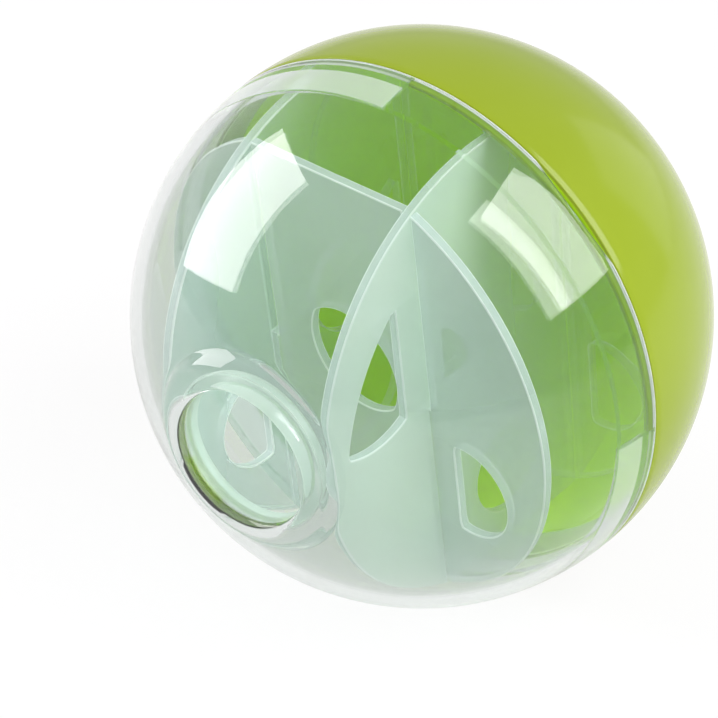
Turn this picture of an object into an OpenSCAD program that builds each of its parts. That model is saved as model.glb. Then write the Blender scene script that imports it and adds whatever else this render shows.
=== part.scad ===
// Treat dispensing ball: a clear half and a green half that push together, round a slotted labyrinth.
// Origin at the ball's centre. The hole faces -Y, +Z is up, and sizes are in millimetres.

/* [Ball] */
// Outside diameter of the closed ball
ball_d = 80; // [70:1:95]
// Wall of both half shells
shell_wall = 1.6; // [1.5:0.1:2]
// How far the seam lies from the ball's centre, toward the hole
seam_offset = 2; // [1:0.5:3]
// Chamfer along both edges of the seam
seam_break = 0.25; // [0.1:0.05:0.4]

/* [Rim tongues] */
// How far the clear half's tongues reach past the seam, and both kinds behind it
tongue_reach = 6.2; // [4:0.1:8]
// How far the green half's low lips reach past the seam
lip_reach = 1; // [0.6:0.1:2]
// How far the tongues and lips stand in from the shell's inner face
tongue_step = 0.6; // [0.4:0.05:0.8]
// Thickness of the tongues and lips
tongue_t = 1.1; // [0.9:0.05:1.3]
// Clearance between a tongue or lip and its pocket
rim_fit = 0.15; // [0.1:0.01:0.25]
// Height of the pry notches in the clear rim
notch_h = 0.8; // [0.4:0.1:1.5]
// Width of the pry notches
notch_w = 16.5; // [8:0.5:20]
// Direction of the first pry notch, round from +X
notch_turn = 48; // [30:1:60]

/* [Dispensing hole] */
// Diameter of the hole
hole_d = 20; // [16:0.5:22]
// Wall of the tube round the hole
tube_wall = 1.2; // [1:0.1:1.6]
// Rounding of the hole's mouth
mouth_round = 0.9; // [0.5:0.1:1.1]
// Rounding of the collar's outer flank
flank_round = 4.5; // [3.5:0.1:5.5]
// How far the collar's crest lies below the full ball
crest_drop = 0.4; // [0:0.1:0.8]
// Clearance between the tube and the labyrinth as it turns
tube_play = 0.2; // [0.1:0.05:0.5]

/* [Labyrinth] */
// Thickness of each disc
disc_t = 1.4; // [1:0.1:1.8]
// Distance of each disc's middle plane from the labyrinth's centre
disc_off = 14; // [12:0.5:16]
// Play between the labyrinth and the tongues
labyrinth_play = 0.48; // [0.4:0.02:1]
// Play on each side of a disc in its slot
slot_play = 0.1; // [0.05:0.01:0.2]
// How far the loose labyrinth tips forward
lean_tip = 3.3; // [0:0.1:4]
// How far the loose labyrinth tips sideways
lean_side = 5.5; // [0:0.1:6]
// How far the loose labyrinth is turned about the ball's axis
lean_turn = 3.2; // [0:0.1:10]

/* [Openings in the discs] */
// Half the length of the pointed opening in the front disc
lens_reach = 8.5; // [6:0.1:10]
// Half the width of the pointed opening
lens_side = 6.9; // [5:0.1:8]
// Slant of the pointed opening
lens_slant = -40; // [-60:5:-20]
// Radius of the round openings
round_r = 7.1; // [5:0.1:8]
// How far the low round opening lies below the disc's centre
round_drop = 19.2; // [18:0.1:21]
// Radius of the openings in the side lobes
lobe_r = 7; // [5:0.1:7.5]
// How far a side lobe's opening lies below the disc's centre
lobe_drop = 11.5; // [9:0.1:13]
// Web between a slot and a side lobe's opening
lobe_web = 4.4; // [3:0.1:5]
// Web between a slot and the leaf opening
leaf_web = 5; // [4:0.1:6]
// Web between the leaf opening and the disc's rim
leaf_rim_web = 3.7; // [2.5:0.1:5]
// Radius of the leaf opening's foot
leaf_foot_r = 11.8; // [11:0.1:13]
// Radius of the small leaf opening
small_leaf_r = 12.2; // [10:0.1:13]
// Web between a slot and the small leaf opening
small_leaf_web = 2.9; // [2:0.1:4]

/* [Hidden] */

// Facets of the round surfaces
$fn = 180;
// Overrun of a cut past what it cuts
overrun = 1;

ball_r = ball_d / 2;
inner_r = ball_r - shell_wall;
tongue_in_r = inner_r - tongue_step;
tongue_out_r = tongue_in_r + tongue_t;
pocket_r = tongue_out_r + rim_fit;
tongue_top = seam_offset + tongue_reach;
tongue_foot = seam_offset - tongue_reach;
lip_top = seam_offset + lip_reach;
seam_r = sqrt(pow(ball_r, 2) - pow(seam_offset, 2));

// The quadrants that the green half's lips and the clear half's tongues start in
green_quadrant = 0;
clear_quadrant = 90;

// The notch is an arc as deep as notch_h and as wide as notch_w
notch_r = (pow(notch_w / 2, 2) + pow(notch_h, 2)) / (2 * notch_h);

// The labyrinth fits the tongues, corner by corner, and the tube stops short of its highest corner
corner_r = tongue_in_r - labyrinth_play;
disc_face = disc_off + disc_t / 2;
disc_r = sqrt(pow(corner_r, 2) - pow(disc_face, 2));
slot_half = disc_t / 2 + slot_play;
lean = norm([lean_tip, lean_side]);

hole_r = hole_d / 2;
tube_end = corner_r * cos(atan2(disc_face, disc_r) - lean) + tube_play;
crest = ball_r - crest_drop;
crest_r = hole_r + mouth_round;

// Radius of the pointed opening's two arcs
lens_r = (pow(lens_reach, 2) + pow(lens_side, 2)) / (2 * lens_side);
// Place of the pointed opening's centre, as shares of the disc's offset
lens_shares = [0.09, 0.16];

// How far a side lobe's opening is cut off by its straight edge, as a share of its radius
lobe_cut_share = 0.77;

// Centre of the leaf's outer arc below the disc's centre, as a share of the disc's radius
leaf_sink_share = 0.14;
// Centre of the leaf's foot past its straight edge, as a share of the foot's radius
leaf_foot_share = 0.46;

// Place of the small leaf's arc past the slot, and its foot, as shares of its radius
small_leaf_out_share = 0.29;
small_leaf_up_share = 0.08;
small_leaf_foot_share = 0.14;

clear_tint = [0.87, 0.92, 0.91, 0.3];
green_tint = [0.67, 0.77, 0.26];
frost_tint = [0.68, 0.82, 0.72, 0.6];

// Sets a piece modelled along the ball's axis so that the hole faces -Y
module face_front() {
    rotate([90, 0, 0]) children();
}

// Part of a hollow ball between two heights
module ball_zone(outer_r, wall_r, low, high) {
    intersection() {
        difference() {
            sphere(r = outer_r);
            sphere(r = wall_r);
        }
        translate([0, 0, low]) cylinder(r = ball_d, h = high - low);
    }
}

// Two opposite quadrants between two heights, held back by a gap at each end
module quadrants(start, low, high, gap) {
    for (turn = [start, start + 180])
        rotate(turn) translate([gap, gap, low]) cube([ball_d, ball_d, high - low]);
}

// Two opposite tongues or lips, from the foot behind the seam up to their tops
module rim_tongues(start, top) {
    intersection() {
        ball_zone(tongue_out_r, tongue_in_r, tongue_foot, top);
        quadrants(start, tongue_foot, top, rim_fit);
    }
}

// What is cut from one half for what reaches in from the other
module rim_pockets(start, low, high) {
    intersection() {
        sphere(r = pocket_r);
        quadrants(start, low, high, 0);
    }
}

// The small V along the outside of the seam
module seam_chamfer() {
    rotate_extrude() translate([seam_r, seam_offset]) rotate(45)
        square(seam_break * sqrt(2), center = true);
}

// Shallow arcs cut in the clear rim to pry the halves apart
module pry_notches() {
    for (turn = [notch_turn, notch_turn + 180])
        rotate(turn) translate([tongue_out_r, 0, seam_offset + notch_h - notch_r])
            rotate([0, 90, 0]) cylinder(r = notch_r, h = shell_wall + overrun);
}

// Section of the tube and the rounded collar round the hole
module collar_section() {
    translate([hole_r, tube_end]) square([tube_wall, crest - mouth_round - tube_end]);
    translate([crest_r, crest - mouth_round]) circle(r = mouth_round);
    difference() {
        intersection() {
            translate([crest_r, crest - flank_round]) circle(r = flank_round);
            translate([crest_r, tube_end]) square(ball_r);
        }
        circle(r = ball_r - shell_wall / 2);
    }
}

module clear_dome() {
    color(clear_tint) face_front() {
        difference() {
            union() {
                ball_zone(ball_r, inner_r, seam_offset, ball_r + overrun);
                rim_tongues(clear_quadrant, tongue_top);
            }
            rim_pockets(green_quadrant, seam_offset, lip_top + rim_fit);
            seam_chamfer();
            pry_notches();
            cylinder(r = hole_r + tube_wall / 2, h = ball_d);
        }
        rotate_extrude() collar_section();
    }
}

module green_bowl() {
    color(green_tint) face_front() difference() {
        union() {
            ball_zone(ball_r, inner_r, -ball_r - overrun, seam_offset);
            rim_tongues(green_quadrant, lip_top);
        }
        rim_pockets(clear_quadrant, tongue_foot - rim_fit, seam_offset);
        seam_chamfer();
    }
}

// Leans the labyrinth as it lies in the ball
module leaned() {
    face_front() rotate([lean_tip, -lean_side, lean_turn]) children();
}

// A disc whose upper side has two slots and a straight edge between them
module slotted_disc() {
    linear_extrude(height = disc_t, center = true) difference() {
        circle(r = disc_r);
        for (side = [-1, 1]) translate([side * disc_off - slot_half, -slot_play])
            square([2 * slot_half, disc_r + overrun]);
        translate([-disc_off, sqrt(pow(disc_r, 2) - pow(disc_off, 2))]) square([2 * disc_off, disc_r]);
    }
}

// Cuts an outline through a disc
module cut_through() {
    linear_extrude(height = disc_t + overrun, center = true) children();
}

// Round opening with a straight edge, in a side lobe on the right
module lobe_opening() {
    cut_through() intersection() {
        translate([disc_off + lobe_web + lobe_r * (1 - lobe_cut_share), -lobe_drop]) circle(r = lobe_r);
        translate([disc_off + lobe_web, -lobe_drop - lobe_r]) square(2 * lobe_r);
    }
}

// Pointed opening between two arcs
module lens_opening() {
    cut_through() translate(lens_shares * disc_off) rotate(lens_slant) intersection() {
        translate([0, lens_r - lens_side]) circle(r = lens_r);
        translate([0, lens_side - lens_r]) circle(r = lens_r);
    }
}

// Leaf opening in the upper right lobe, with one straight edge
module leaf_opening() {
    edge = disc_off + leaf_web;
    cut_through() intersection() {
        translate([edge, 0]) square(disc_r);
        translate([0, -leaf_sink_share * disc_r]) circle(r = disc_r - leaf_rim_web);
        translate([edge + leaf_foot_share * leaf_foot_r, leaf_foot_r]) circle(r = leaf_foot_r);
    }
}

// Small leaf opening inside the right slot, with two straight edges
module small_leaf_opening() {
    edge = disc_off - small_leaf_web;
    cut_through() intersection() {
        translate([edge - small_leaf_r, small_leaf_foot_share * small_leaf_r]) square(small_leaf_r);
        translate([disc_off + small_leaf_out_share * small_leaf_r, small_leaf_up_share * small_leaf_r])
            circle(r = small_leaf_r);
    }
}

// Round opening on the disc's middle line
module round_opening(drop) {
    cut_through() translate([0, -drop]) circle(r = round_r);
}

// Disc A, with its slots downward
module disc_a() {
    difference() {
        mirror([0, 1, 0]) slotted_disc();
        leaf_opening();
        small_leaf_opening();
        mirror([1, 0, 0]) lobe_opening();
        round_opening(round_drop);
    }
}

// Disc B, with its slots upward
module disc_b() {
    difference() {
        slotted_disc();
        lens_opening();
        lobe_opening();
    }
}

// Stands a disc on edge, with its right side toward the hole
module on_edge() {
    translate([disc_off, 0, 0]) rotate([0, -90, 0]) children();
}

module labyrinth_disc_a1() {
    color(frost_tint) leaned() on_edge() disc_a();
}

// The far disc has one more opening, at its centre
module labyrinth_disc_a2() {
    color(frost_tint) leaned() rotate([0, 180, 0]) on_edge() difference() {
        disc_a();
        round_opening(0);
    }
}

module labyrinth_disc_b1() {
    color(frost_tint) leaned() translate([0, 0, disc_off]) disc_b();
}

module labyrinth_disc_b2() {
    color(frost_tint) leaned() translate([0, 0, -disc_off]) disc_b();
}

clear_dome();
green_bowl();
labyrinth_disc_a1();
labyrinth_disc_a2();
labyrinth_disc_b1();
labyrinth_disc_b2();
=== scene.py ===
import math

import bmesh
import bpy
from mathutils import Matrix, Vector


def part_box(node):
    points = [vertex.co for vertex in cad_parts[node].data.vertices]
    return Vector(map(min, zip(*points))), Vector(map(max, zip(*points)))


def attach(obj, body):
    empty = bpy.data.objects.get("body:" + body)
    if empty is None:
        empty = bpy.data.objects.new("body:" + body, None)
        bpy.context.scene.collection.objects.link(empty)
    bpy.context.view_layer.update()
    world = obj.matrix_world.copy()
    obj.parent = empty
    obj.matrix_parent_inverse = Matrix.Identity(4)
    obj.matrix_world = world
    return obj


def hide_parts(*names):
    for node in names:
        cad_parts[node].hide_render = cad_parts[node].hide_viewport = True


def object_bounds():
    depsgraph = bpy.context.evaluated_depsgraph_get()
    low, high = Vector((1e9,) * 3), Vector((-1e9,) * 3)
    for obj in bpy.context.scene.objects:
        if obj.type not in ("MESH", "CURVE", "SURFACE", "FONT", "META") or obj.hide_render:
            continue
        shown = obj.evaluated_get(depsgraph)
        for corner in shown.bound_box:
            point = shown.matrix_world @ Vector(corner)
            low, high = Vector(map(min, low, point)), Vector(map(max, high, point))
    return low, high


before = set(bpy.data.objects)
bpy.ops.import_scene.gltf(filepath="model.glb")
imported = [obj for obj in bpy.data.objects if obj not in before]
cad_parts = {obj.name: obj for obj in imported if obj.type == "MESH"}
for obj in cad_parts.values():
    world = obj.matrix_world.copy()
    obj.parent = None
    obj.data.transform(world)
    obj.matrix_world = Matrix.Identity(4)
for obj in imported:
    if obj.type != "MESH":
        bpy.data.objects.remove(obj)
CAD_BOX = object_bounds()

bl_info = {
    "name": "Treat Dispensing Ball",
    "version": (1, 0, 0),
    "blender": (4, 5, 0),
    "location": "3D View > Sidebar > Treat Ball",
    "description": "Builds a two-part treat ball with a slotted labyrinth, its finishes and its stage",
    "category": "Object",
}

MM = 0.001
SHELL_LOW, SHELL_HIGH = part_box("green_bowl")
BALL_D = SHELL_HIGH[0] - SHELL_LOW[0]

# Counts that set how fine the meshes are
QUADRANT_STEPS = 72
RIM_STEPS = 5
ARC_STEPS = 64
SMALL_ARC_STEPS = 12
DISC_STEPS = 240
OPENING_STEPS = 96

# Points closer than this become one, on the turned shells and on the discs' curves
WELD = 1e-7
CURVE_WELD = 2e-6

# Which quadrants, counted round from +X, hold the bowl's lips and the dome's tongues
BOWL_LIPS = 0
DOME_TONGUES = 1

# Half widths of the bands where the clear half's finish differs, full up to the first and gone at the second
RIM_BAND = (0.16 * MM, 0.42 * MM)
END_BAND = (0.25 * MM, 0.45 * MM)
SIDE_BAND = (0.2 * MM, 0.5 * MM)
POCKET_BAND = (0.5 * MM, 0.7 * MM)
EASE = 0.1 * MM

# Shares of haze on the clear half's rim and tongues and in its tube
RIM_HAZE = 0.75
TONGUE_HAZE = 0.35
TUBE_HAZE = 0.5

# How see-through the tongues' ends and sides and the pockets' floors are, so that they draw no dark lines
TONGUE_FAINT = 0.85
POCKET_FAINT = 0.9

# Places along Y where the discs are milkiest and where they are clear
VEIL_FULL = -30 * MM
VEIL_GONE = 22 * MM

# Share of the lamps' light that passes a disc
DISC_SHADOW_PASS = 0.8

# Tints of the clouds in a disc's faces and of the painted highlight on its softened edges
CLOUD_TINT = (0.4, 0.56, 0.48)
PAINTED_GLINT_TINT = (0.93, 0.98, 0.96)

# Which slopes of a disc's softened edge count as flat face and as wall
FACE_SLOPE = 0.98
WALL_SLOPE = 0.2

# Distance of the lamps from the ball's centre, half the side of the floor, and its share of plain white
LAMP_FAR = 0.60
FLOOR_HALF = 3.0
FLOOR_GLOW = 0.88


def length(name, description, default):
    """A length in metres, given in millimetres."""
    return bpy.props.FloatProperty(name=name, description=description, default=default * MM, min=0,
                                   unit="LENGTH", subtype="DISTANCE", precision=5)


def turn(name, description, default):
    """An angle, given in degrees."""
    return bpy.props.FloatProperty(
        name=name, description=description, default=math.radians(default), unit="ROTATION", subtype="ANGLE")


def share(name, description, default):
    """A factor between 0 and 1."""
    return bpy.props.FloatProperty(name=name, description=description, default=default, min=0, max=1,
                                   subtype="FACTOR")


def colour(name, description, *default):
    """A colour, given in 0 to 255 as a screen shows it."""
    linear = [((v / 255 + 0.055) / 1.055) ** 2.4 if v > 10 else v / 255 / 12.92 for v in default]
    return bpy.props.FloatVectorProperty(name=name, description=description, default=linear, size=3, min=0,
                                         max=1, subtype="COLOR")


class ShellSizes(bpy.types.PropertyGroup):
    """Sizes of the two half shells."""
    ball_d: length("Ball diameter", "Outside diameter of the closed ball", BALL_D / MM)
    wall: length("Wall", "Wall of both half shells", 1.6)
    seam: length("Seam offset", "How far the seam lies from the centre, toward the hole", 2)
    seam_break: length("Seam break", "Softened edge along the seam", 0.25)
    reach: length("Tongue reach", "How far the clear tongues reach past the seam, and all behind it", 6.2)
    lip: length("Lip reach", "How far the green lips reach past the seam", 1)
    step: length("Tongue step", "How far the tongues stand in from the shell's inner face", 0.6)
    tongue: length("Tongue thickness", "Thickness of each tongue", 1.1)
    fit: length("Rim fit", "Clearance between a tongue and its pocket", 0.15)
    seam_gap: length("Seam gap", "Half the hairline between the two rims", 0.03)
    edge: length("Tongue edge", "Softened edges of the tongues", 0.18)
    notch_h: length("Notch height", "Height of the pry notches", 0.8)
    notch_w: length("Notch width", "Width of the pry notches", 16.5)
    notch_turn: turn("Notch direction", "Direction of the first pry notch", 48)
    hole_d: length("Hole diameter", "Diameter of the hole", 20)
    tube_wall: length("Tube wall", "Wall of the tube round the hole", 1.2)
    tube_end: length("Tube end", "Height of the tube's inner end above the centre", 35.93)
    mouth: length("Mouth rounding", "Rounding of the hole's mouth", 0.9)
    flank: length("Flank rounding", "Rounding of the collar's flank", 4.5)
    crest_drop: length("Crest drop", "How far the collar's crest lies below the full ball", 0.4)
    flank_ease: length("Flank easing", "How softly the collar's flank leaves the ball", 0.7)


class LabyrinthSizes(bpy.types.PropertyGroup):
    """Sizes of the four slotted discs and of their openings."""
    disc_r: length("Disc radius", "Radius of each disc", 34.3)
    disc_t: length("Disc thickness", "Thickness of each disc", 1.4)
    disc_off: length("Disc offset", "Distance of each disc from the labyrinth's centre", 14)
    edge: length("Disc edge", "Softened edges of the discs", 0.2)
    play: length("Slot play", "Play on each side of a disc in its slot", 0.02)
    tip: turn("Tip", "How far the loose labyrinth tips forward", 3.3)
    side: turn("Side lean", "How far the loose labyrinth tips sideways", 5.5)
    about: turn("Turn", "How far the loose labyrinth is turned about the ball's axis", 3.2)
    lens_reach: length("Pointed opening, half length", "Half the length of the pointed opening", 8.5)
    lens_side: length("Pointed opening, half width", "Half the width of the pointed opening", 6.9)
    lens_slant: turn("Pointed opening, slant", "Slant of the pointed opening", -40)
    round_r: length("Round opening", "Radius of the round openings", 7.1)
    round_drop: length("Round opening, drop", "How far the low round opening lies below the centre", 19.2)
    lobe_r: length("Lobe opening", "Radius of the openings in the side lobes", 7)
    lobe_drop: length("Lobe opening, drop", "How far a lobe's opening lies below the centre", 11.5)
    lobe_web: length("Lobe web", "Web between a slot and a lobe's opening", 4.4)
    leaf_web: length("Leaf web", "Web between a slot and the leaf opening", 5)
    leaf_rim: length("Leaf rim", "Web between the leaf opening and the rim", 3.7)
    leaf_foot: length("Leaf foot", "Radius of the leaf opening's foot", 11.8)
    small_r: length("Small leaf", "Radius of the small leaf opening", 12.2)
    small_web: length("Small leaf web", "Web between a slot and the small leaf opening", 2.9)


class BallColours(bpy.types.PropertyGroup):
    """Colours and strengths of the finishes."""
    green: colour("Green outside", "Lime green of the bowl's outside", 131, 151, 20)
    # Painted light: the inside is a brighter, deeper green than the plastic, for the light that shines
    # through the translucent wall
    green_inside_lit: colour("Green inside", "Deeper green of the bowl's inside", 190, 235, 14)
    # Painted shade: a darker green on the low lips, for the shade inside the dome's pockets
    green_lip_shaded: colour("Green lip", "Green of the bowl's low lips", 112, 146, 24)
    clear: colour("Clear", "Faint tint of the clear half", 222, 227, 224)
    haze: colour("Haze", "Pale haze on the clear half's tongues and rim", 222, 228, 224)
    tube_haze: colour("Tube haze", "Grey-green haze in the hole's wall", 192, 212, 200)
    frost: colour("Frost", "Pale mint of the discs", 190, 206, 200)
    frost_near: colour("Frost, near disc", "Mint of the disc on the near side", 194, 210, 198)
    # Painted shade: the disc on the far side gets a darker copy of the discs' frost
    frost_far_shaded: colour("Frost, far disc", "Mint of the disc on the far side", 166, 190, 182)
    frost_edge: colour("Frost edge", "Paler edges of the discs", 192, 208, 205)
    veil_a1: share("Veil A1", "Milkiness of the disc on the near side", 0.85)
    veil_a2: share("Veil A2", "Milkiness of the disc on the far side", 0.5)
    veil_b1: share("Veil B1", "Milkiness of the disc behind the hole", 0.9)
    veil_b2: share("Veil B2", "Milkiness of the disc toward the green pole", 0.4)
    floor: colour("Floor", "Colour of the floor", 228, 228, 228)


class StageSettings(bpy.types.PropertyGroup):
    """Camera and lamps."""
    lens: bpy.props.FloatProperty(name="Lens", description="Focal length on a 36 mm sensor", default=175.26,
                                  unit="CAMERA")
    camera_far: length("Camera distance", "Distance of the camera from the ball's centre", 480)
    azimuth: turn("Azimuth", "Camera's azimuth, round from the front", 36.69)
    elevation: turn("Elevation", "Camera's elevation", 36.05)
    shift_x: bpy.props.FloatProperty(name="Shift X", description="Camera shift across the frame",
                                     default=-0.0875)
    shift_y: bpy.props.FloatProperty(name="Shift Y", description="Camera shift up the frame",
                                     default=-0.0595)
    fill: share("Fill", "Strength of the even light from all round", 0.42)


GROUPS = {"ball_shell": ShellSizes, "ball_labyrinth": LabyrinthSizes, "ball_colours": BallColours,
          "ball_stage": StageSettings}


class Wire:
    """A socket of a finish. Sums and products of wires add their Math nodes."""

    def __init__(self, finish, socket):
        self.finish = finish
        self.socket = socket

    def maths(self, operation, *values):
        return self.finish.maths(operation, *values)

    def __add__(self, other):
        return self.maths("ADD", self, other)

    __radd__ = __add__

    def __mul__(self, other):
        return self.maths("MULTIPLY", self, other)

    __rmul__ = __mul__

    def __sub__(self, other):
        return self.maths("SUBTRACT", self, other)

    def __rsub__(self, other):
        return self.maths("SUBTRACT", other, self)

    def absolute(self):
        return self.maths("ABSOLUTE", self)

    def larger(self, *others):
        """The largest of several wires."""
        best = self
        for other in others:
            best = self.maths("MAXIMUM", best, other)
        return best

    def ramp(self, low, high):
        """0 below low, 1 above high, eased between them."""
        return self.finish.node("ShaderNodeMapRange", {"interpolation_type": "SMOOTHSTEP"},
                                {"Value": self, "From Min": low, "From Max": high})

    def fade(self, band, beyond=0.0):
        """1 up to a band's start and 0 from its end, both counted from a place."""
        return 1 - self.ramp(beyond + band[0], beyond + band[1])


class Finish:
    """The nodes of a material or a world, under construction."""

    def __init__(self, owner):
        self.owner = owner
        owner.use_nodes = True
        self.tree = owner.node_tree
        self.tree.nodes.clear()

    def node(self, kind, settings=None, sockets=None, out=0):
        """Adds a node, with its settings and then its sockets, and returns one of its outputs."""
        node = self.tree.nodes.new(kind)
        for key, value in (settings or {}).items():
            setattr(node, key, value)
        for key, value in (sockets or {}).items():
            if isinstance(value, Wire):
                self.tree.links.new(value.socket, node.inputs[key])
            else:
                node.inputs[key].default_value = value
        return Wire(self, node.outputs[out]) if node.outputs else None

    def maths(self, operation, *values, clamp=False):
        settings = {"operation": operation, "use_clamp": clamp}
        return self.node("ShaderNodeMath", settings, dict(enumerate(values)))

    def place(self):
        """Where a point lies on the object."""
        return self.node("ShaderNodeTexCoord", out="Object")

    def along(self, axis):
        """How far a point lies along an axis."""
        return self.node("ShaderNodeSeparateXYZ", {}, {0: self.place()}, out=axis)

    def stretched(self, scale):
        """Where a point lies, stretched along the axes."""
        return self.node("ShaderNodeMapping", {}, {"Vector": self.place(), "Scale": scale})

    def noise(self, scale, detail, where=None, rough=0.5):
        sockets = {"Vector": where or self.place(), "Scale": scale, "Detail": detail, "Roughness": rough}
        return self.node("ShaderNodeTexNoise", {}, sockets)

    def mix(self, factor, a, b):
        """Mix of two colours."""
        a, b = (c if isinstance(c, Wire) else tinted(c) for c in (a, b))
        return self.node("ShaderNodeMix", {"data_type": "RGBA"}, {0: factor, 6: a, 7: b}, out=2)

    def bump(self, height, distance, strength):
        sockets = {"Height": height, "Distance": distance, "Strength": strength}
        return self.node("ShaderNodeBump", {}, sockets)

    def shade(self, sockets, kind="ShaderNodeBsdfPrincipled"):
        return self.node(kind, {}, sockets)

    def shadow_rays(self):
        """1 for rays from the lamps."""
        return self.node("ShaderNodeLightPath", out="Is Shadow Ray")

    def blend(self, factor, first, second):
        """Mix of two surfaces."""
        return self.node("ShaderNodeMixShader", {}, {0: factor, 1: first, 2: second})

    def end(self, surface, kind="ShaderNodeOutputMaterial"):
        """Ends the nodes in a surface, and returns the material or world."""
        self.node(kind, {}, {"Surface": surface})
        return self.owner


def new_finish(name):
    """The finish of a new material."""
    return Finish(bpy.data.materials.new(name))


def tinted(colour_value):
    """A colour with its alpha."""
    return tuple(colour_value) + (1.0,)


def clear_plastic(colours, s):
    """Clear moulded plastic with faint flow and rub marks, and hazy at its rim, its tongues and its tube."""
    f = new_finish("clear_plastic")
    x, back, z = (f.along(axis) for axis in "XYZ")
    toward_hole = -1 * back
    ball_r = s.ball_d / 2
    inner_r = ball_r - s.wall
    off_seam = (back + s.seam).absolute()
    from_axis = f.maths("SQRT", x * x + z * z)
    from_centre = f.maths("SQRT", x * x + z * z + back * back)

    rim = off_seam.fade(RIM_BAND)
    tongues = from_centre.fade((EASE - s.step, -EASE), inner_r)
    tube = from_axis.fade((EASE, 4 * EASE), s.hole_d / 2 + s.tube_wall)
    tube *= toward_hole.ramp(0, MM) * toward_hole.fade((-s.wall, -MM), ball_r)
    pale = (RIM_HAZE * rim).larger(TONGUE_HAZE * tongues, TUBE_HAZE * tube)

    end = (off_seam - s.reach).absolute().fade(END_BAND)
    side = f.maths("MINIMUM", x.absolute(), z.absolute()).fade(SIDE_BAND)
    side *= off_seam.fade(SIDE_BAND, s.reach)
    pocket = (back + s.seam + s.lip - EASE).absolute().fade(POCKET_BAND)
    inside_wall = from_centre.fade((-EASE, EASE), inner_r + MM)
    faint = inside_wall * (TONGUE_FAINT * end).larger(TONGUE_FAINT * side, POCKET_FAINT * pocket)

    flow = f.noise(scale=60, detail=2)
    rubs = f.noise(scale=9, detail=4, where=f.stretched((40, 900, 90)), rough=0.6).ramp(0.55, 0.9)
    gloss = f.shade({
        "Base Color": tinted(colours.clear), "Roughness": 0.025 + 0.05 * rubs, "IOR": 1.47,
        "Transmission Weight": 1.0, "Normal": f.bump(flow, distance=0.12 * MM, strength=0.25)})
    haze = f.shade({"Base Color": f.mix(tube, colours.haze, colours.tube_haze), "Roughness": 0.4})
    through = f.shade({"Color": (0.96, 0.98, 0.97, 1)}, "ShaderNodeBsdfTransparent")
    seen = f.blend(faint, f.blend(pale, gloss, haze), through)
    return f.end(f.blend(f.shadow_rays(), seen, through))


def green_plastic(colours, ball_r, seam):
    """Glossy lime plastic, with painted light on the inside, a brighter deeper green for light shining
    through the wall, and painted shade on the low lips, a darker green.
    """
    f = new_finish("green_plastic")
    from_centre = f.node("ShaderNodeVectorMath", {"operation": "LENGTH"}, {0: f.place()}, out="Value")
    outside = from_centre.ramp(ball_r - 6 * EASE, ball_r - 3 * EASE)
    cloud = f.noise(scale=45, detail=4)
    speckle = f.noise(scale=900, detail=2)
    # Mask of the low lips past the seam, where the green is darkened as painted shade
    lips = (-1 * f.along("Y")).ramp(seam - EASE, seam + EASE)
    # Painted light on the inside and painted shade on the low lips, over the outside's own green
    base = f.mix(outside, f.mix(lips, colours.green_inside_lit, colours.green_lip_shaded), colours.green)
    body = f.shade({
        "Base Color": f.mix(0.03 * cloud, base, (0.9, 1.0, 0.55)),
        "Roughness": 0.24 + 0.08 * cloud - 0.12 * outside, "IOR": 1.48, "Specular IOR Level": 0.3,
        "Normal": f.bump(cloud * 0.8 + speckle * 0.03, distance=0.3 * MM, strength=0.12)})
    return f.end(body)


def frosted_plastic(name, colours, frost, veil, fade, edge_veil):
    """Thin frosted plastic, milkier toward the hole, with paler walls and a painted highlight along its
    softened edges.
    """
    f = new_finish(name)
    edge, painted_glint = (f.node("ShaderNodeAttribute", {"attribute_name": layer}, out="Fac")
                   for layer in ("disc_edge", "disc_painted_glint"))
    cloud = f.noise(scale=70, detail=4)
    grain = f.noise(scale=2600, detail=2)
    depth = (f.along("Y") - VEIL_FULL) * (1 / (VEIL_GONE - VEIL_FULL))
    near = f.maths("SUBTRACT", 1.0, depth, clamp=True)
    face_veil = f.maths("POWER", near, fade) * veil
    wall_veil = near * edge_veil
    face = f.mix(cloud.ramp(0.3, 0.7) * 0.3, frost, CLOUD_TINT)
    cut = f.mix(edge, face, colours.frost_edge)
    body = f.shade({
        # Painted highlight: the softened edges are mixed toward near white and made more opaque
        "Base Color": f.mix(0.55 * painted_glint, cut, PAINTED_GLINT_TINT),
        "Roughness": 0.3 + 0.15 * cloud, "IOR": 1.47,
        "Alpha": edge * (wall_veil - face_veil) + face_veil * (0.85 + 0.3 * cloud) + 0.25 * near * painted_glint,
        "Normal": f.bump(grain, distance=0.04 * MM, strength=0.3)})
    through = f.shade({"Color": (0.97, 1, 0.98, 1)}, "ShaderNodeBsdfTransparent")
    return f.end(f.blend(f.shadow_rays(), body, f.blend(DISC_SHADOW_PASS, body, through)))


def sphere_arc(radius, low, high, steps):
    """Points of a circle round the ball's centre between two heights, as (out, height)."""
    ends = [math.asin(max(-1.0, min(1.0, h / radius))) for h in (low, high)]
    turns = [ends[0] + (ends[1] - ends[0]) * i / max(steps, 1) for i in range(steps + 1)]
    return [(radius * math.cos(a), radius * math.sin(a)) for a in turns]


def round_arc(centre, radius, start, end, steps):
    """Points of a circle round any centre, from one angle to another."""
    turns = [start + (end - start) * i / steps for i in range(steps + 1)]
    return [(centre[0] + radius * math.cos(a), centre[1] + radius * math.sin(a)) for a in turns]


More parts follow.
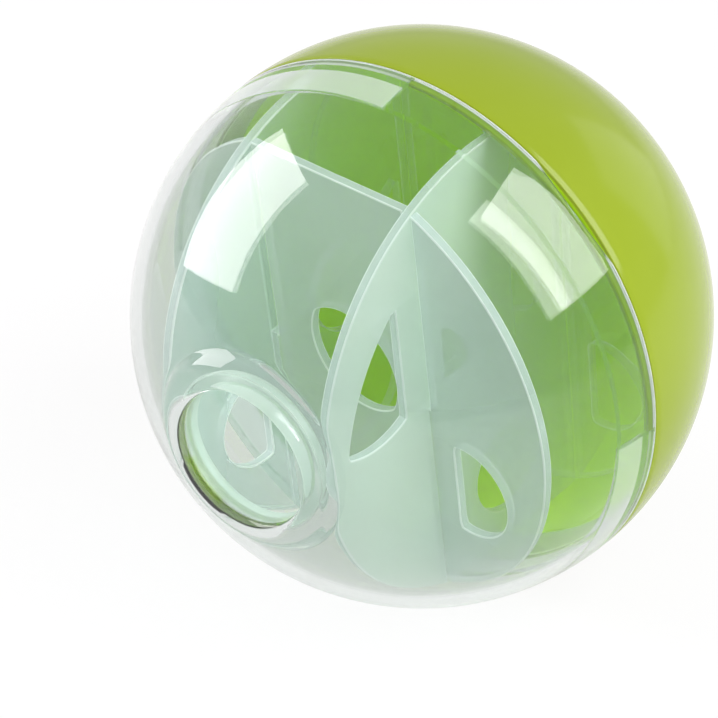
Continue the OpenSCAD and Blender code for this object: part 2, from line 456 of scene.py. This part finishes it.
def rim_section(s, side, is_tongue, lift):
    """Section of one half's rim, from its inner wall to the outer edge of the seam."""
    ball_r = s.ball_d / 2
    inner_r = ball_r - s.wall
    tongue_in = inner_r - s.step
    tongue_out = tongue_in + s.tongue
    pocket_r = tongue_out + s.fit
    deep = s.reach + s.fit
    beyond = s.reach if side > 0 else s.lip
    depth = (s.lip if side > 0 else s.reach) + s.fit
    lift = lift + s.seam_gap
    e = s.edge

    def band(radius, near, far, steps=RIM_STEPS):
        return sphere_arc(radius, s.seam + side * near, s.seam + side * far, steps)

    if is_tongue:
        chain = band(inner_r, deep, s.reach, 1) + band(tongue_in + e, s.reach, s.reach, 0)
        chain += band(tongue_in, s.reach - e, 0) + band(tongue_in, 0, e - beyond)[1:]
        chain += band(tongue_in + e, -beyond, -beyond, 0) + band(tongue_out - e, -beyond, -beyond, 0)
        chain += band(tongue_out, e - beyond, lift)
    else:
        chain = band(inner_r, deep, deep, 0) + band(inner_r, max(depth, s.reach), depth, RIM_STEPS - 2)
        chain += band(pocket_r - e, depth, depth, 0) + band(pocket_r, depth - e, lift, 2)
        chain += band(pocket_r, lift, lift, 2 * RIM_STEPS + 2)
    seam_r = math.sqrt(ball_r ** 2 - s.seam ** 2)
    height = s.seam + side * lift
    b = s.seam_break
    return chain + [(seam_r - b, height), (seam_r - 0.3 * b, height + side * 0.3 * b)]


def notch_lift(s, azimuth):
    """How far a pry notch raises the rim at an azimuth."""
    radius = ((s.notch_w / 2) ** 2 + s.notch_h ** 2) / (2 * s.notch_h)
    best = 0.0
    for start in (s.notch_turn, s.notch_turn + math.pi):
        across = s.ball_d / 2 * math.sin(azimuth - start)
        if abs(across) < radius and math.cos(azimuth - start) > 0:
            best = max(best, s.notch_h - radius + math.sqrt(radius ** 2 - across ** 2))
    return best


def dome_section(s, is_tongue, lift):
    """Closed section of the clear half: rim, outer face, collar, tube and inner face."""
    ball_r = s.ball_d / 2
    inner_r = ball_r - s.wall
    hole_r = s.hole_d / 2
    crest = ball_r - s.crest_drop
    mouth = (hole_r + s.mouth, crest - s.mouth)
    flank = Vector((hole_r + s.mouth, crest - s.flank))
    along = (ball_r ** 2 - s.flank ** 2 + flank.length_squared) / (2 * flank.length)
    aside = math.sqrt(ball_r ** 2 - along ** 2)
    way = flank.normalized()
    meet = way * along + Vector((way.y, -way.x)) * aside
    ease = s.flank_ease
    shell_end = ball_r * math.sin(math.atan2(meet.y, meet.x) - ease / ball_r)
    flank_start = math.atan2(meet.y - flank.y, meet.x - flank.x) + ease / s.flank
    quarter = math.pi / 2

    section = rim_section(s, 1, is_tongue, lift)
    shell = sphere_arc(ball_r, s.seam + lift + s.seam_break, shell_end, ARC_STEPS)
    rise = round_arc(flank, s.flank, flank_start, quarter, SMALL_ARC_STEPS)
    foot, head = Vector(shell[-1]), Vector(rise[0])
    blend = [tuple(foot * (1 - t) ** 2 + meet * 2 * t * (1 - t) + head * t ** 2) for t in (0.25, 0.5, 0.75)]
    section += shell + blend + rise
    section += round_arc(mouth, s.mouth, quarter, 2 * quarter, SMALL_ARC_STEPS)[1:]
    tube_r = hole_r + s.tube_wall
    e = s.edge
    section += [(hole_r, s.tube_end + e), (hole_r + e, s.tube_end), (tube_r - e, s.tube_end),
                (tube_r, s.tube_end + e)]
    tube_top = math.sqrt(inner_r ** 2 - tube_r ** 2)
    return section + sphere_arc(inner_r, tube_top, s.seam + s.reach + s.fit, ARC_STEPS)[:-1]


def bowl_section(s, is_tongue, lift):
    """Open section of the green half, from its inner pole round the rim to its outer pole."""
    ball_r = s.ball_d / 2
    inner_r = ball_r - s.wall
    inner = sphere_arc(inner_r, -inner_r, s.seam - s.reach - s.fit, ARC_STEPS)[:-1]
    outer = sphere_arc(ball_r, s.seam - s.seam_break, -ball_r, ARC_STEPS)
    return inner + rim_section(s, -1, is_tongue, 0.0) + outer


def half_shell(name, s, section, tongues, closed, notched):
    """Turns a section about the ball's axis, quadrant by quadrant."""
    gap = math.asin(s.fit / (s.ball_d / 2 - s.wall))
    columns = []
    for quadrant in range(4):
        is_tongue = quadrant % 2 == tongues
        inset = gap if is_tongue else -gap
        start = quadrant * math.pi / 2 + inset
        sweep = math.pi / 2 - 2 * inset
        for i in range(QUADRANT_STEPS + 1):
            azimuth = start + sweep * i / QUADRANT_STEPS
            lift = notch_lift(s, azimuth) if notched and not is_tongue else 0.0
            columns.append([(r * math.cos(azimuth), -h, r * math.sin(azimuth))
                            for r, h in section(s, is_tongue, lift)])
    build = bmesh.new()
    rings = [[build.verts.new(p) for p in column] for column in columns]
    count = len(rings[0])
    for here, there in zip(rings, rings[1:] + rings[:1]):
        for k in range(count if closed else count - 1):
            n = (k + 1) % count
            build.faces.new((here[k], there[k], there[n], here[n]))
    bmesh.ops.remove_doubles(build, verts=build.verts, dist=WELD)
    bmesh.ops.dissolve_degenerate(build, edges=build.edges, dist=WELD)
    bmesh.ops.recalc_face_normals(build, faces=build.faces)
    return as_piece(name, build, sharp_from=35)


def as_piece(name, build, sharp_from):
    """An object of a finished mesh, smooth up to an angle in degrees."""
    mesh = bpy.data.meshes.new(name)
    build.to_mesh(mesh)
    build.free()
    mesh.shade_smooth()
    mesh.set_sharp_from_angle(angle=math.radians(sharp_from))
    piece = bpy.data.objects.new(name, mesh)
    bpy.context.scene.collection.objects.link(piece)
    return piece


def hole_outline(centre, reach, limits):
    """Outline of what lies inside all the limits, seen from one point of it."""
    outline = []
    for i in range(OPENING_STEPS):
        a = 2 * math.pi * i / OPENING_STEPS
        way = (math.cos(a), math.sin(a))
        far = min([reach] + [limit(centre, way) for limit in limits])
        outline.append((centre[0] + way[0] * far, centre[1] + way[1] * far))
    return outline


def disc_limit(x, y, radius):
    """Limit: inside a circle."""
    def far(centre, way):
        dx, dy = centre[0] - x, centre[1] - y
        b = dx * way[0] + dy * way[1]
        return -b + math.sqrt(max(0.0, b * b - dx * dx - dy * dy + radius * radius))
    return far


def line_limit(nx, ny, offset):
    """Limit: on the side of a straight line where nx*x + ny*y is below an offset."""
    def far(centre, way):
        slope = nx * way[0] + ny * way[1]
        return (offset - nx * centre[0] - ny * centre[1]) / slope if slope > 1e-9 else 1.0
    return far


def disc_outline(s):
    """Outline of a disc with two slots in its upper side and a straight edge between them."""
    half = s.disc_t / 2 + s.play
    near, far = s.disc_off - half, s.disc_off + half
    top = math.sqrt(s.disc_r ** 2 - s.disc_off ** 2)
    lobe = math.acos(far / s.disc_r)
    arc = round_arc((0, 0), s.disc_r, math.pi - lobe, 2 * math.pi + lobe, DISC_STEPS)
    slots = [(far, -s.play), (near, -s.play), (near, top), (-near, top), (-near, -s.play), (-far, -s.play)]
    return arc + slots


def lobe_opening(s):
    """Round opening in a side lobe, cut straight beside the slot."""
    x = s.disc_off + s.lobe_web
    centre = (x + 0.23 * s.lobe_r, -s.lobe_drop)
    return hole_outline(centre, s.disc_r, [disc_limit(*centre, s.lobe_r), line_limit(-1, 0, -x)])


def lens_opening(s):
    """Pointed opening, where two circles overlap."""
    radius = (s.lens_reach ** 2 + s.lens_side ** 2) / (2 * s.lens_side)
    centre = (0.09 * s.disc_off, 0.16 * s.disc_off)
    away = radius - s.lens_side
    lean = (-math.sin(s.lens_slant) * away, math.cos(s.lens_slant) * away)
    return hole_outline(centre, s.disc_r, [
        disc_limit(centre[0] + k * lean[0], centre[1] + k * lean[1], radius) for k in (1, -1)])


def leaf_opening(s):
    """Leaf opening in a side lobe, between the slot, the rim and a curved foot."""
    edge = s.disc_off + s.leaf_web
    return hole_outline((edge + 0.3 * s.leaf_foot, 0.7 * s.leaf_foot), s.disc_r, [
        line_limit(-1, 0, -edge), line_limit(0, -1, 0),
        disc_limit(0, -0.14 * s.disc_r, s.disc_r - s.leaf_rim),
        disc_limit(edge + 0.46 * s.leaf_foot, s.leaf_foot, s.leaf_foot)])


def small_leaf_opening(s):
    """Small leaf opening between the slots."""
    edge = s.disc_off - s.small_web
    return hole_outline((edge - 0.2 * s.small_r, 0.4 * s.small_r), s.disc_r, [
        line_limit(1, 0, edge), line_limit(0, -1, -0.14 * s.small_r),
        disc_limit(s.disc_off + 0.29 * s.small_r, 0.08 * s.small_r, s.small_r)])


def round_opening(s, drop):
    """Round opening below the disc's centre."""
    return hole_outline((0, -drop), s.round_r, [])


def mirrored(outline, x, y):
    """An outline flipped across or upside down."""
    return [(px * x, py * y) for px, py in outline]


def slotted_disc(name, s, outlines, place):
    """A flat disc of outlines with rounded edges, laid in its place."""
    curve = bpy.data.curves.new(name, "CURVE")
    curve.dimensions = "2D"
    curve.fill_mode = "BOTH"
    for outline in outlines:
        spline = curve.splines.new("POLY")
        spline.points.add(len(outline) - 1)
        for point, (x, y) in zip(spline.points, outline):
            point.co = (x, y, 0, 1)
        spline.use_cyclic_u = True
    curve.extrude = s.disc_t / 2 - s.edge
    curve.bevel_depth = s.edge
    curve.bevel_resolution = 2
    curve.offset = -s.edge
    drawn = bpy.data.objects.new(name + "_outline", curve)
    bpy.context.scene.collection.objects.link(drawn)
    bpy.context.view_layer.update()
    flat = bpy.data.meshes.new_from_object(drawn)
    bpy.data.objects.remove(drawn)
    build = bmesh.new()
    build.from_mesh(flat)
    bmesh.ops.remove_doubles(build, verts=build.verts, dist=CURVE_WELD)
    bmesh.ops.dissolve_degenerate(build, edges=build.edges, dist=WELD)
    bmesh.ops.recalc_face_normals(build, faces=build.faces)
    edge = build.faces.layers.float.new("disc_edge")
    # The softened edges' sloped faces carry the painted highlight of the frosted finish
    painted_glint = build.faces.layers.float.new("disc_painted_glint")
    for face in build.faces:
        slope = abs(face.normal.z)
        face[edge] = float(slope <= FACE_SLOPE)
        face[painted_glint] = float(WALL_SLOPE < slope < FACE_SLOPE)
    build.transform(place)
    return as_piece(name, build, sharp_from=30)


def leaned(s):
    """The labyrinth's lean, from its own axes to the part's."""
    return (Matrix.Rotation(math.pi / 2, 4, "X") @ Matrix.Rotation(s.about, 4, "Z")
            @ Matrix.Rotation(-s.side, 4, "Y") @ Matrix.Rotation(s.tip, 4, "X"))


def settle(piece, material, body, node):
    """Gives a piece its finish and its body, and hides the node that it stands for."""
    piece.data.materials.clear()
    piece.data.materials.append(material)
    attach(piece, body)
    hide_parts(node)


class BALL_OT_clear_dome(bpy.types.Operator):
    """Builds the clear half with its collar, tongues and pry notches"""
    bl_idname = "treat_ball.clear_dome"
    bl_label = "Clear Dome"

    def execute(self, context):
        scene = context.scene
        s = scene.ball_shell
        dome = half_shell("clear_dome_shell", s, dome_section, DOME_TONGUES, closed=True, notched=True)
        finish = clear_plastic(scene.ball_colours, s)
        settle(dome, finish, "dome", "clear_dome")
        return {"FINISHED"}


class BALL_OT_green_bowl(bpy.types.Operator):
    """Builds the green half with its low lips"""
    bl_idname = "treat_ball.green_bowl"
    bl_label = "Green Bowl"

    def execute(self, context):
        scene = context.scene
        s = scene.ball_shell
        bowl = half_shell("green_bowl_shell", s, bowl_section, BOWL_LIPS, closed=False, notched=False)
        finish = green_plastic(scene.ball_colours, s.ball_d / 2, s.seam)
        settle(bowl, finish, "bowl", "green_bowl")
        return {"FINISHED"}


class BALL_OT_labyrinth(bpy.types.Operator):
    """Builds the four frosted discs, slotted into each other"""
    bl_idname = "treat_ball.labyrinth"
    bl_label = "Labyrinth"

    def execute(self, context):
        s = context.scene.ball_labyrinth
        colours = context.scene.ball_colours
        disc_b = [disc_outline(s), lens_opening(s), lobe_opening(s)]
        disc_a = [mirrored(disc_outline(s), 1, -1), leaf_opening(s), small_leaf_opening(s),
                  mirrored(lobe_opening(s), -1, 1), round_opening(s, s.round_drop)]
        disc_a2 = disc_a + [round_opening(s, 0)]
        near_side = Matrix.Translation((s.disc_off, 0, 0)) @ Matrix.Rotation(-math.pi / 2, 4, "Y")
        far_side = Matrix.Rotation(math.pi, 4, "Y") @ near_side
        front = Matrix.Translation((0, 0, s.disc_off))
        rear = Matrix.Translation((0, 0, -s.disc_off))
        # Each disc's outlines, place, colour, veil, how fast the veil fades, and veil of its walls
        plates = {
            "a1": (disc_a, near_side, colours.frost_near, colours.veil_a1, 0.95, 0.5),
            # The far disc's darker frost is painted shade
            "a2": (disc_a2, far_side, colours.frost_far_shaded, colours.veil_a2, 1.85, 0.6),
            "b1": (disc_b, front, colours.frost, colours.veil_b1, 1.85, 0.65),
            "b2": (disc_b, rear, colours.frost, colours.veil_b2, 1.85, 1.0)}
        for key, (outlines, place, *looks) in plates.items():
            plate = slotted_disc("labyrinth_plate_" + key, s, outlines, leaned(s) @ place)
            finish = frosted_plastic("frosted_plastic_" + key, colours, *looks)
            settle(plate, finish, "labyrinth", "labyrinth_disc_" + key)
        return {"FINISHED"}


def looking(azimuth, elevation):
    """Direction from the ball toward an azimuth and elevation."""
    level = math.cos(elevation)
    return Vector((math.sin(azimuth) * level, -math.cos(azimuth) * level, math.sin(elevation)))


def softbox(name, azimuth, elevation, width, height, radiance, roll=0, tint=(1, 1, 1), nearer=0, seen=True):
    """A rectangular lamp that faces the ball. Its power follows from how bright its face looks."""
    lamp = bpy.data.lights.new(name, "AREA")
    lamp.shape = "RECTANGLE"
    lamp.size, lamp.size_y = width, height
    lamp.energy = radiance * math.pi * width * height
    lamp.color = tint
    holder = bpy.data.objects.new(name, lamp)
    holder.visible_glossy = holder.visible_transmission = seen
    way = looking(math.radians(azimuth), math.radians(elevation))
    turned = way.to_track_quat("Z", "Y").to_matrix().to_4x4() @ Matrix.Rotation(math.radians(roll), 4, "Z")
    holder.matrix_world = Matrix.Translation(way * (LAMP_FAR - nearer)) @ turned
    bpy.context.scene.collection.objects.link(holder)


def seen_rays(f, in_gloss=1.0, in_clear=1.0):
    """1 for rays that show the background rather than light the object, less for gloss and clear plastic."""
    camera, glossy, through = (f.node("ShaderNodeLightPath", out=name)
                               for name in ("Is Camera Ray", "Is Glossy Ray", "Is Transmission Ray"))
    return f.maths("MINIMUM", camera + glossy * in_gloss + through * in_clear, 1.0)


class BALL_OT_stage(bpy.types.Operator):
    """Sets up the floor, the even light, the softboxes and the camera"""
    bl_idname = "treat_ball.stage"
    bl_label = "Stage"

    def execute(self, context):
        scene = context.scene
        s = scene.ball_stage
        colours = scene.ball_colours

        low = CAD_BOX[0][2]
        mesh = bpy.data.meshes.new("floor")
        corners = [(x * FLOOR_HALF, y * FLOOR_HALF, low) for x, y in ((-1, -1), (1, -1), (1, 1), (-1, 1))]
        mesh.from_pydata(corners, [], [(0, 1, 2, 3)])
        floor = bpy.data.objects.new("floor", mesh)
        scene.collection.objects.link(floor)
        f = new_finish("floor")
        matt = f.shade({"Color": tinted(colours.floor)}, "ShaderNodeBsdfDiffuse")
        glow = f.shade({"Color": (1, 1, 1, 1), "Strength": 1.0}, "ShaderNodeEmission")
        shown = FLOOR_GLOW * seen_rays(f, in_gloss=0.4, in_clear=0.6)
        mesh.materials.append(f.end(f.blend(shown, matt, glow)))

        # Gloss meets a darker world behind the camera than round the ball, so that its reflection stays faint
        scene.world = bpy.data.worlds.new("even_light")
        f = Finish(scene.world)
        ray = f.node("ShaderNodeTexCoord", out="Generated")
        toward = f.node("ShaderNodeVectorMath", {"operation": "DOT_PRODUCT"},
                        {0: ray, 1: looking(s.azimuth, s.elevation)}, out="Value")
        strength = seen_rays(f, in_gloss=0.5 - 0.42 * toward.ramp(0.2, 0.8)) * (1 - s.fill) + s.fill
        even = f.shade({"Color": (1, 1, 1, 1), "Strength": strength}, "ShaderNodeBackground")
        f.end(even, "ShaderNodeOutputWorld")

        # Each lamp's azimuth and elevation in degrees, its width and height in metres, and its radiance
        softbox("softbox_left", -70.8, 25.4, 0.347, 0.465, 6.3, roll=30.6, tint=(1, 0.93, 0.98))
        softbox("softbox_right", 114.2, 42.7, 0.487, 0.293, 6.0, roll=81, tint=(1, 0.96, 1))
        softbox("softbox_strip", 96.4, 44.5, 0.122, 0.504, 4.2, tint=(1, 0.96, 1), nearer=2 * MM)
        softbox("softbox_front", 42, 28, 0.5, 0.5, 1.95, seen=False)
        softbox("softbox_back", 166, -4, 0.29, 0.7, 0.7)

        camera = bpy.data.cameras.new("camera")
        camera.lens = s.lens
        camera.sensor_width = 36
        camera.shift_x, camera.shift_y = s.shift_x, s.shift_y
        camera.clip_start = 0.01
        holder = bpy.data.objects.new("camera", camera)
        way = looking(s.azimuth, s.elevation)
        turned = way.to_track_quat("Z", "Y").to_matrix().to_4x4()
        holder.matrix_world = Matrix.Translation(way * s.camera_far) @ turned
        scene.collection.objects.link(holder)
        scene.camera = holder
        scene.view_settings.view_transform = "Standard"
        # Light has to pass both walls and up to eight disc faces
        scene.cycles.transparent_max_bounces = 32
        scene.cycles.transmission_bounces = 20
        scene.cycles.glossy_bounces = 20
        scene.cycles.max_bounces = 20
        return {"FINISHED"}


class BALL_PT_panel(bpy.types.Panel):
    """Lists the ball's pieces and its stage"""
    bl_idname = "BALL_PT_panel"
    bl_label = "Treat Ball"
    bl_space_type = "VIEW_3D"
    bl_region_type = "UI"
    bl_category = "Treat Ball"

    def draw(self, context):
        for operator in OPERATORS:
            self.layout.operator(operator.bl_idname)
        for key, group in GROUPS.items():
            box = self.layout.box()
            box.label(text=group.__doc__)
            for name in group.__annotations__:
                box.prop(getattr(context.scene, key), name)


OPERATORS = (BALL_OT_stage, BALL_OT_clear_dome, BALL_OT_green_bowl, BALL_OT_labyrinth)
CLASSES = tuple(GROUPS.values()) + OPERATORS + (BALL_PT_panel,)


def register():
    for cls in CLASSES:
        bpy.utils.register_class(cls)
    for key, group in GROUPS.items():
        setattr(bpy.types.Scene, key, bpy.props.PointerProperty(type=group))


def unregister():
    for key in GROUPS:
        delattr(bpy.types.Scene, key)
    for cls in reversed(CLASSES):
        bpy.utils.unregister_class(cls)


def main():
    register()
    bpy.ops.treat_ball.stage()
    bpy.ops.treat_ball.clear_dome()
    bpy.ops.treat_ball.green_bowl()
    bpy.ops.treat_ball.labyrinth()


if __name__ == "__main__":
    main()
